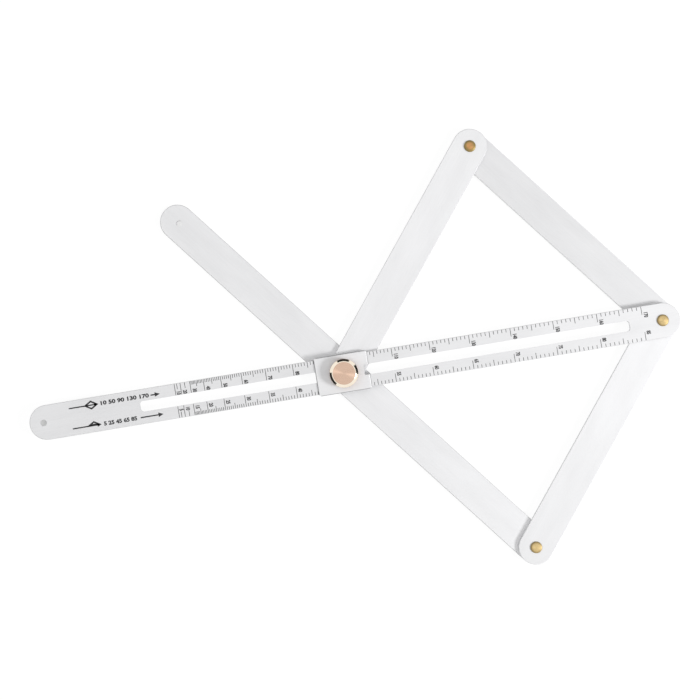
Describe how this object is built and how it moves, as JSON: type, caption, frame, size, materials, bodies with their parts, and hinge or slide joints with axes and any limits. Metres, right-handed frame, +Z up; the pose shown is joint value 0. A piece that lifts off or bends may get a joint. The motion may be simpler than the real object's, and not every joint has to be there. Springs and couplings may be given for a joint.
{
  "type": "angle finder",
  "caption": "Flat angle finder: a four-arm linkage hinged on a slotted scale ruler, set by a slider plate and a clamp knob, with one arm running on past the clamp.",
  "frame": {"origin": "centre of the bounding box at its underside, under the middle of the ruler", "axes": "+X along the ruler from its free end towards the vertex rivet, +Y towards the upper rivet, +Z up through the knob"},
  "size_m": [0.4055, 0.2722, 0.015],
  "materials": {
    "ruler_aluminium": "satin anodised sheet with printed black scales",
    "arm_aluminium": "satin anodised sheet with broken edges",
    "plate_aluminium": "satin bent sheet",
    "rivet_brass": "pressed, slightly dulled",
    "bolt_steel": "turned, zinc plated",
    "washer_nylon": "plain nylon",
    "knob_copper": "turned, copper-coloured, with a polished chamfer"
  },
  "bodies": {
    "ruler": {"scale_ruler": "ruler_aluminium", "vertex_rivet": "rivet_brass", "vertex_burr": "rivet_brass", "vertex_washer_lower": "washer_nylon", "vertex_washer_upper": "washer_nylon"},
    "upper_front": {"upper_front_arm": "arm_aluminium", "upper_rivet": "rivet_brass", "upper_burr": "rivet_brass", "upper_washer": "washer_nylon"},
    "lower_front": {"lower_front_arm": "arm_aluminium", "lower_rivet": "rivet_brass", "lower_burr": "rivet_brass", "lower_washer": "washer_nylon"},
    "upper_rear": {"upper_rear_arm": "arm_aluminium"},
    "long": {"long_arm": "arm_aluminium"},
    "slider": {"slider_plate": "plate_aluminium", "clamp_bolt": "bolt_steel", "slider_washer_lower": "washer_nylon", "slider_washer_upper": "washer_nylon"},
    "cap_washer": {"knob_washer": "bolt_steel"},
    "knob": {"clamp_knob": "knob_copper"}
  },
  "joints": [
    {"name": "upper_front_hinge", "type": "hinge", "parent": "ruler", "child": "upper_front", "pos_m": [0.19201, 0, 0.0022], "axis": [0, 0, 1], "range_deg": [-33.4, 46.1]},
    {"name": "lower_front_hinge", "type": "hinge", "parent": "ruler", "child": "lower_front", "pos_m": [0.19201, 0, 0.0045], "axis": [0, 0, 1], "range_deg": [-46.1, 33.4]},
    {"name": "upper_rear_hinge", "type": "hinge", "parent": "upper_front", "child": "upper_rear", "pos_m": [0.09263, 0.12539, 0.0045], "axis": [0, 0, 1], "range_deg": [-92.2, 66.8]},
    {"name": "long_arm_hinge", "type": "hinge", "parent": "lower_front", "child": "long", "pos_m": [0.09263, -0.12539, 0.0022], "axis": [0, 0, 1], "range_deg": [-66.8, 92.2]},
    {"name": "slider_hinge", "type": "hinge", "parent": "upper_rear", "child": "slider", "pos_m": [-0.00675, 0, 0.0045], "axis": [0, 0, 1], "range_deg": [-33.4, 46.1]},
    {"name": "knob_lift", "type": "slide", "parent": "slider", "child": "cap_washer", "axis": [0, 0, 1], "range_m": [0, 0.001]},
    {"name": "knob_turn", "type": "hinge", "parent": "cap_washer", "child": "knob", "pos_m": [-0.00675, 0, 0.0108], "axis": [0, 0, 1], "range_deg": [0, 360]}
  ],
  "couplings": [
    {"joint": "lower_front_hinge", "follows": "upper_front_hinge", "ratio": -1},
    {"joint": "upper_rear_hinge", "follows": "upper_front_hinge", "ratio": -2},
    {"joint": "long_arm_hinge", "follows": "upper_front_hinge", "ratio": 2},
    {"joint": "slider_hinge", "follows": "upper_front_hinge", "ratio": 1},
    {"joint": "knob_lift", "follows": "knob_turn", "m_per_rad": 0.00015915}
  ]
}
